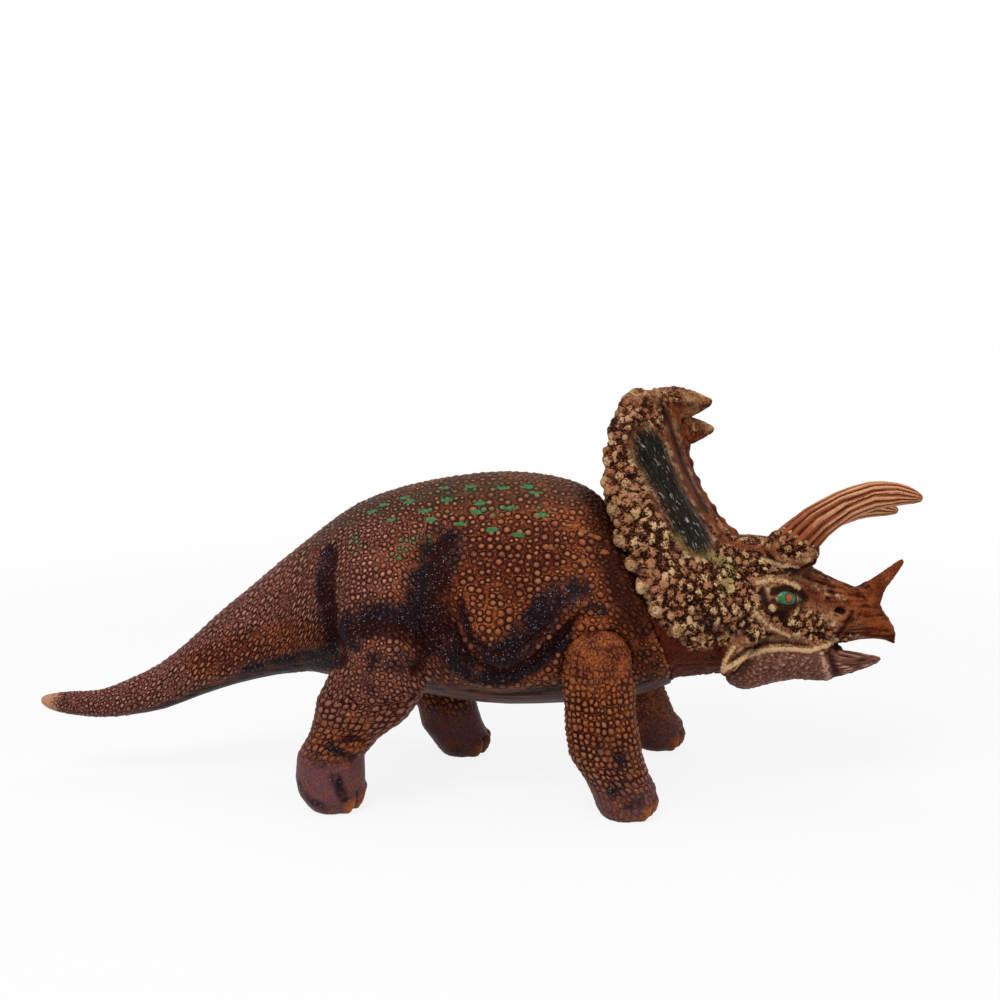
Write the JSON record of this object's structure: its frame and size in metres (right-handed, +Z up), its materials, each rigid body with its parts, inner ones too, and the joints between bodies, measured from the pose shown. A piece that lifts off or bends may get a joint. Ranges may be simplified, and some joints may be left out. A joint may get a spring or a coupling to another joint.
{
  "type": "toy dinosaur figure",
  "caption": "Hollow soft-vinyl horned dinosaur figure with a frilled head that turns at the neck and front legs that swing.",
  "frame": {"origin": "on the surface the figure stands on, under the middle of its bounding box", "axes": "+X towards the nose, +Y towards the figure's left, +Z up"},
  "size_m": [0.3022, 0.0844, 0.1361],
  "materials": {
    "hide": "soft vinyl, orange-brown paint dry-brushed over a dark wash, satin",
    "mask": "soft vinyl, cream paint dry-brushed over dark brown, satin",
    "horn": "soft vinyl, reddish-brown paint, satin",
    "chin": "soft vinyl, mauve-brown paint, satin",
    "plug": "moulded, unpainted"
  },
  "bodies": {
    "trunk": {"torso_shell": "hide", "tail": "hide", "hind_leg_right": "hide", "hind_leg_left": "hide", "neck_plug": "plug", "shoulder_plug_right": "plug", "shoulder_plug_left": "plug"},
    "head": {"head_shell": "mask", "lower_jaw": "chin", "brow_horn_right": "horn", "brow_horn_left": "horn"},
    "front_leg_right": {"front_leg_right": "hide"},
    "front_leg_left": {"front_leg_left": "hide"}
  },
  "joints": [
    {"name": "neck_turn", "type": "hinge", "parent": "trunk", "child": "head", "pos_m": [0.0582, 0, 0.0628], "axis": [0.9336, 0, 0.3584], "range_deg": [-10, 44]},
    {"name": "front_leg_right_swing", "type": "hinge", "parent": "trunk", "child": "front_leg_right", "pos_m": [0.04065, -0.021, 0.0508], "axis": [0, 1, 0], "range_deg": [-30, 30]},
    {"name": "front_leg_left_swing", "type": "hinge", "parent": "trunk", "child": "front_leg_left", "pos_m": [0.04065, 0.021, 0.0508], "axis": [0, 1, 0], "range_deg": [-15, 30]}
  ]
}
